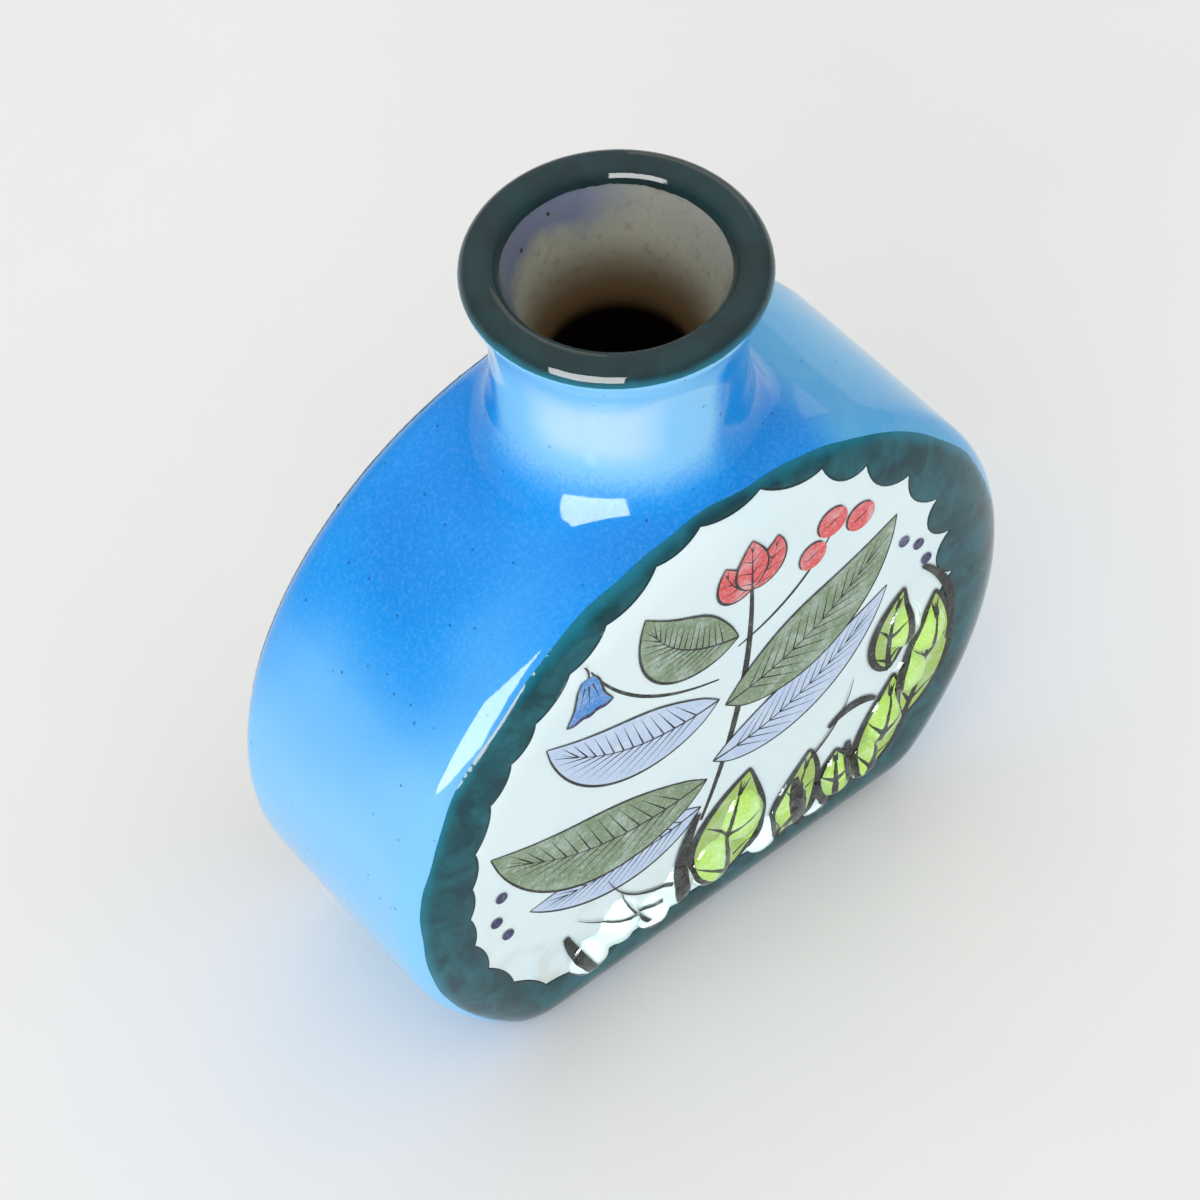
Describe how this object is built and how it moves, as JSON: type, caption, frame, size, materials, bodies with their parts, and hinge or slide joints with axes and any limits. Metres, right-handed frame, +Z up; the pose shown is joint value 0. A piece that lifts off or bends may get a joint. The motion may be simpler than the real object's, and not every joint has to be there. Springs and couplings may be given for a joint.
{
  "type": "bud vase",
  "caption": "Flat round flask bud vase in slab-built stoneware with a rolled lip, a blue glazed band and neck, and scalloped green borders round white panels.",
  "frame": {"origin": "centre of the flat base, on the surface that the vase stands on", "axes": "+Z up along the neck, -Y out of the decorated front face, +X to the right seen from the front"},
  "size_m": [0.096, 0.0417, 0.1085],
  "materials": {
    "stoneware": "bare fired clay, tan with dark specks",
    "blue_glaze": "gloss, mottled, with small cobalt specks",
    "green_glaze": "gloss, dark, thinner and greener at its edges",
    "white_glaze": "gloss white with a faint blue cast",
    "liner_glaze": "clear gloss over speckled tan clay",
    "clear_glaze": "thick clear pooled glaze"
  },
  "bodies": {
    "root": {"front_slab": "stoneware", "back_slab": "stoneware", "side_band": "stoneware", "base_slab": "stoneware", "neck_collar": "stoneware", "band_glaze": "blue_glaze", "neck_glaze": "blue_glaze", "lip_glaze": "green_glaze", "liner_glaze": "liner_glaze", "front_border_glaze": "green_glaze", "front_panel_glaze": "white_glaze", "back_border_glaze": "green_glaze", "back_panel_glaze": "white_glaze", "front_glaze_beads": "clear_glaze"}
  },
  "joints": []
}
